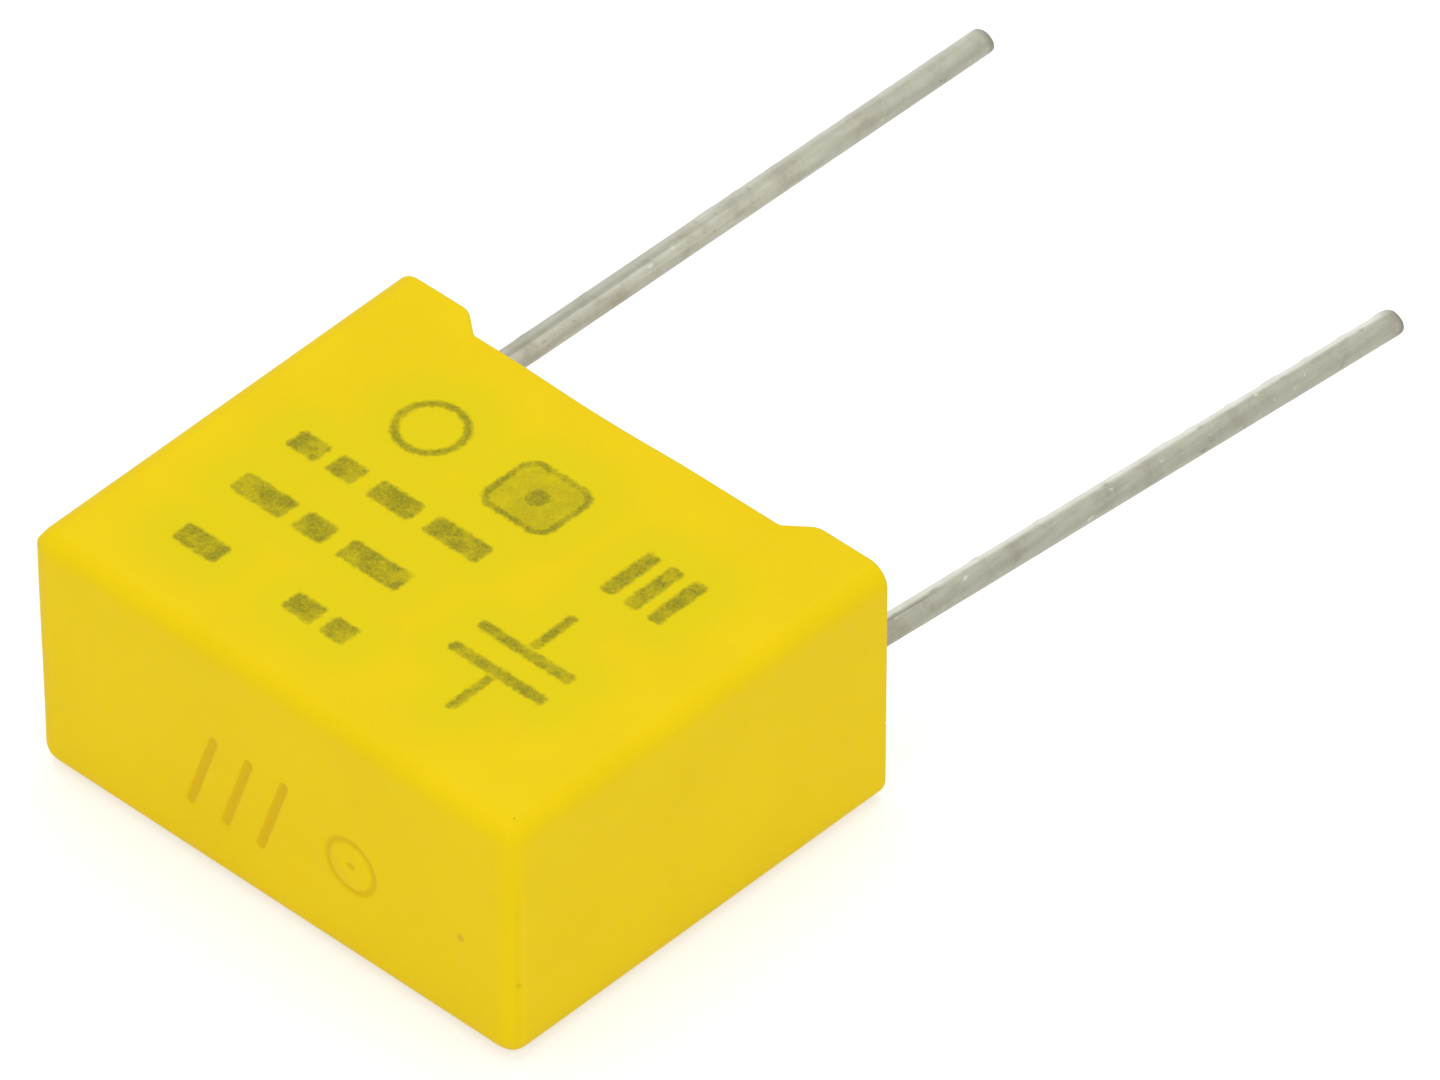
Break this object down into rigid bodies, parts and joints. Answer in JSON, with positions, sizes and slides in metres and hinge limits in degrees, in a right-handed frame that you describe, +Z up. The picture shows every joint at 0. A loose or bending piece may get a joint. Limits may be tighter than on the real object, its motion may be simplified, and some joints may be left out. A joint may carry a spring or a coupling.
{
  "type": "film capacitor",
  "caption": "Box film capacitor: moulded case filled with resin around a flat wound film roll, with wire leads out of its open end.",
  "frame": {"origin": "centre of the large face that the capacitor lies on", "axes": "+X along the lead pitch, +Y along the leads and out of the open end, +Z up and out of the printed face"},
  "size_m": [0.018, 0.0362, 0.0083],
  "materials": {
    "case": "satin moulded",
    "resin": "cast, slightly glossy",
    "film": "metallised film",
    "sprayed_metal": "rough sprayed zinc",
    "tinned_wire": "dull tin plate"
  },
  "bodies": {
    "root": {"case": "case", "potting": "resin", "film_winding": "film", "end_spray_left": "sprayed_metal", "end_spray_right": "sprayed_metal", "lead_left": "tinned_wire", "lead_right": "tinned_wire"}
  },
  "joints": []
}
